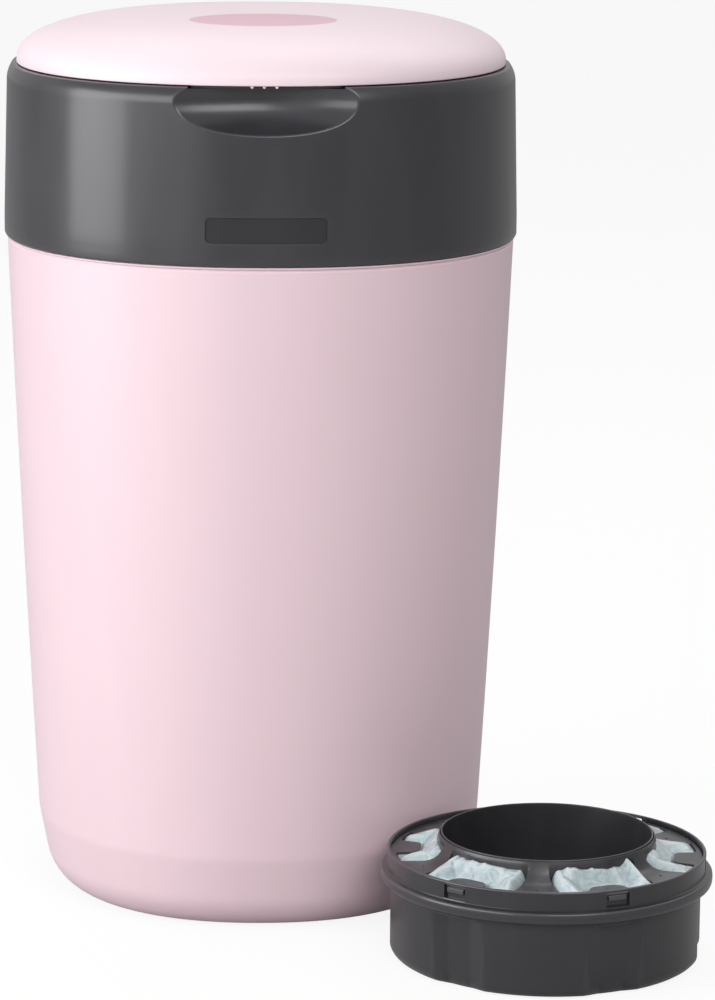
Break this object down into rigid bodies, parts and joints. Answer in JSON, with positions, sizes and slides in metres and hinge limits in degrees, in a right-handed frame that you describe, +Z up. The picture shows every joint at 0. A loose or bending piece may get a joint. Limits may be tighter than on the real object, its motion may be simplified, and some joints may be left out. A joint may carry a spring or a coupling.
{
  "type": "nappy bin",
  "caption": "Tapering nappy bin with a hinged domed lid, a hinged top unit with a twist mechanism, a refill cassette inside it and a spare cassette standing beside it.",
  "frame": {"origin": "on the floor under the middle of the tub, on the rest face", "axes": "+Z up, the longest way; the front with the finger scoop faces -Y; +X to the right seen from the front"},
  "size_m": [0.3602, 0.3914, 0.4634],
  "materials": {
    "pink_plastic": "satin injection-moulded plastic",
    "lid_plastic": "smooth satin plastic",
    "charcoal_plastic": "satin moulded plastic",
    "grey_plastic": "matte moulded plastic",
    "ring_plastic": "satin moulded plastic",
    "cassette_plastic": "glossy recycled plastic",
    "cover_plastic": "glossy plastic",
    "mint_film": "thin gathered film",
    "rubber": "matte rubber",
    "steel_pin": "plain steel"
  },
  "bodies": {
    "tub": {"tub": "pink_plastic", "main_hinge_pin": "steel_pin"},
    "top_unit": {"top_housing": "charcoal_plastic", "deck": "charcoal_plastic", "deck_screws": "steel_pin", "film_gripper": "rubber", "cutter_guard": "grey_plastic", "cutter_blade": "steel_pin", "catch_pin": "steel_pin", "pawl_pin": "steel_pin", "pawl_spring": "steel_pin", "lid_hinge_pin": "steel_pin"},
    "twist_unit": {"cradle": "grey_plastic", "ratchet_ring": "grey_plastic", "twist_ring": "ring_plastic", "cassette_tray": "cassette_plastic", "cassette_cover": "cover_plastic", "cassette_film": "mint_film"},
    "click_pawl": {"click_pawl": "grey_plastic"},
    "front_catch": {"front_catch": "grey_plastic"},
    "lid": {"lid_cover": "lid_plastic", "lid_liner": "charcoal_plastic", "lid_seal": "rubber"},
    "spare_cassette": {"spare_tray": "cassette_plastic", "spare_cover": "cover_plastic", "spare_film": "mint_film"}
  },
  "joints": [
    {"name": "top_unit_hinge", "type": "hinge", "parent": "tub", "child": "top_unit", "pos_m": [0, 0.1485, 0.346], "axis": [-1, 0, 0], "range_deg": [0, 100]},
    {"name": "lid_hinge", "type": "hinge", "parent": "top_unit", "child": "lid", "pos_m": [0, 0.14479, 0.4345], "axis": [-1, 0, 0], "range_deg": [0, 100]},
    {"name": "twist", "type": "hinge", "parent": "top_unit", "child": "twist_unit", "pos_m": [0, 0, 0.4], "axis": [0, 0, 1], "continuous": true},
    {"name": "pawl_flex", "type": "hinge", "parent": "top_unit", "child": "click_pawl", "pos_m": [0.11, -0.02, 0.4077], "axis": [0, 0, -1], "range_deg": [0, 6], "stiffness_Nm_per_rad": 0.02},
    {"name": "catch_flex", "type": "hinge", "parent": "top_unit", "child": "front_catch", "pos_m": [0, -0.12372, 0.392], "axis": [1, 0, 0], "range_deg": [0, 5], "stiffness_Nm_per_rad": 0.6},
    {"name": "spare_lift", "type": "slide", "parent": "tub", "child": "spare_cassette", "axis": [0.1925, -0.1925, 0.9623], "range_m": [0, 0.12]}
  ]
}
